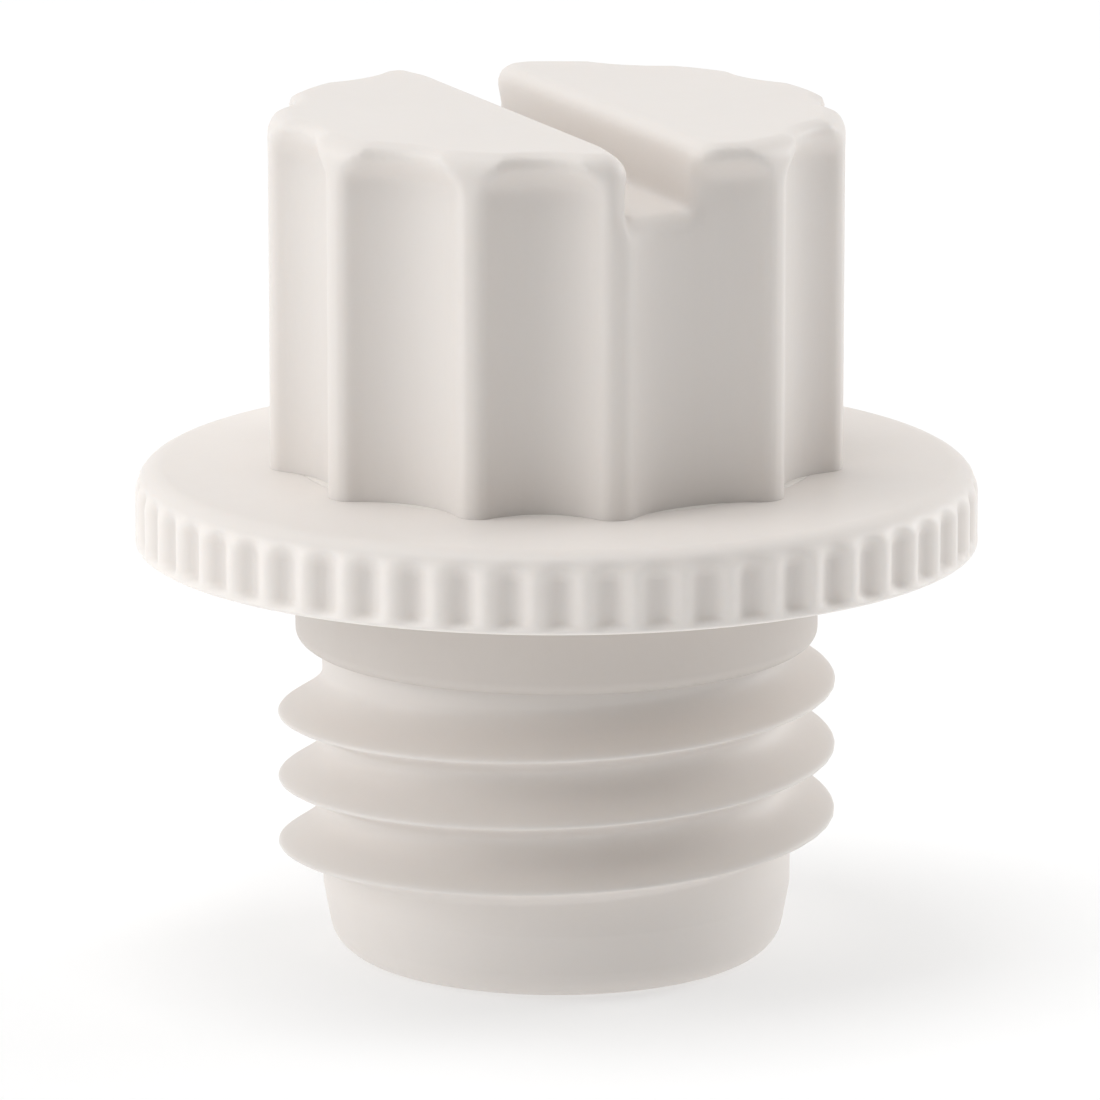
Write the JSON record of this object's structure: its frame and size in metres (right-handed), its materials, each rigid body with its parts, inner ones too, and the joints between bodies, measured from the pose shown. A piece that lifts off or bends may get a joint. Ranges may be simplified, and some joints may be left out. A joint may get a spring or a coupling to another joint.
{
  "type": "wall anchor",
  "caption": "Screw-in plastic wall plug with a knurled flange, coarse outer thread and tapered tail, closed by a fluted clamp knob with a coin slot.",
  "frame": {"origin": "centre of the flat tail end, the lowest point of the part", "axes": "+Z along the part's own axis from the tail end towards the slotted knob, -Y towards the viewer of the front, +X to the right"},
  "size_m": [0.034, 0.034, 0.0346],
  "materials": {
    "ivory_plastic": "satin moulded",
    "soft_ivory_plastic": "satin moulded, slightly soft",
    "washer_plastic": "smooth",
    "plain_steel": "bright zinc",
    "plain_brass": "machined"
  },
  "bodies": {
    "anchor": {"anchor_body": "ivory_plastic", "threaded_insert": "plain_brass", "neck_seal": "soft_ivory_plastic"},
    "washer": {"thrust_washer": "washer_plastic"},
    "knob": {"clamp_knob": "ivory_plastic", "clamp_stud": "plain_steel"}
  },
  "joints": [
    {"name": "knob_lift", "type": "slide", "parent": "anchor", "child": "washer", "axis": [0, 0, 1], "range_m": [0, 0.00375]},
    {"name": "knob_turn", "type": "hinge", "parent": "washer", "child": "knob", "pos_m": [0, 0, 0.0202], "axis": [0, 0, 1], "range_deg": [0, 1080]}
  ],
  "couplings": [
    {"joint": "knob_lift", "follows": "knob_turn", "m_per_rad": 0.00019894}
  ]
}
